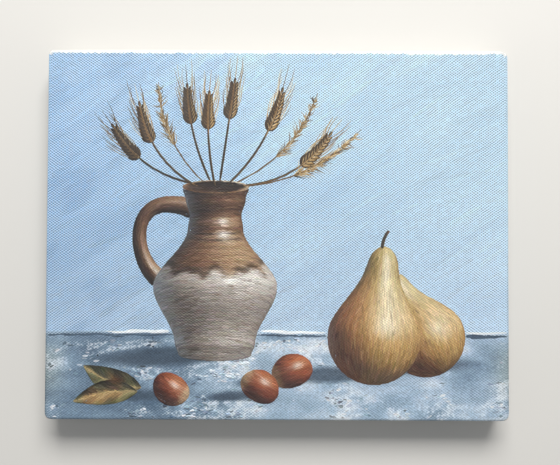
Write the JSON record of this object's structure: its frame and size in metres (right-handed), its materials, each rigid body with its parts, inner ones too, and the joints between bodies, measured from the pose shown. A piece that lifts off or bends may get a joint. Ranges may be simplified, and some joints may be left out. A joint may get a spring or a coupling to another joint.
{
  "type": "stretched canvas painting",
  "caption": "Small painted canvas stretched over a mitred pine frame, lying face up, with folded corners and a stapled back.",
  "frame": {"origin": "middle of the back's lowest plane, the underside of the folded corners that the canvas lies on", "axes": "+X along the picture's lower edge to the viewer's right, +Y up the picture, +Z out of the painted face"},
  "size_m": [0.2552, 0.2044, 0.0191],
  "materials": {
    "painted_cloth": "oil paint over white priming on plain-woven cotton, satin",
    "paint": "dry oil paint in raised strokes, satin to semi-gloss",
    "pine": "planed, bare",
    "staple": "galvanised wire"
  },
  "bodies": {
    "root": {"canvas": "painted_cloth", "bar_top": "pine", "bar_bottom": "pine", "bar_left": "pine", "bar_right": "pine", "key_top_left_side": "pine", "key_top_left_end": "pine", "key_top_right_side": "pine", "key_top_right_end": "pine", "key_bottom_left_side": "pine", "key_bottom_left_end": "pine", "key_bottom_right_side": "pine", "key_bottom_right_end": "pine", "staple_top_1": "staple", "staple_top_2": "staple", "staple_top_3": "staple", "staple_top_4": "staple", "staple_top_5": "staple", "staple_bottom_1": "staple", "staple_bottom_2": "staple", "staple_bottom_3": "staple", "staple_bottom_4": "staple", "staple_bottom_5": "staple", "staple_left_1": "staple", "staple_left_2": "staple", "staple_left_3": "staple", "staple_right_1": "staple", "staple_right_2": "staple", "staple_right_3": "staple"}
  },
  "joints": []
}
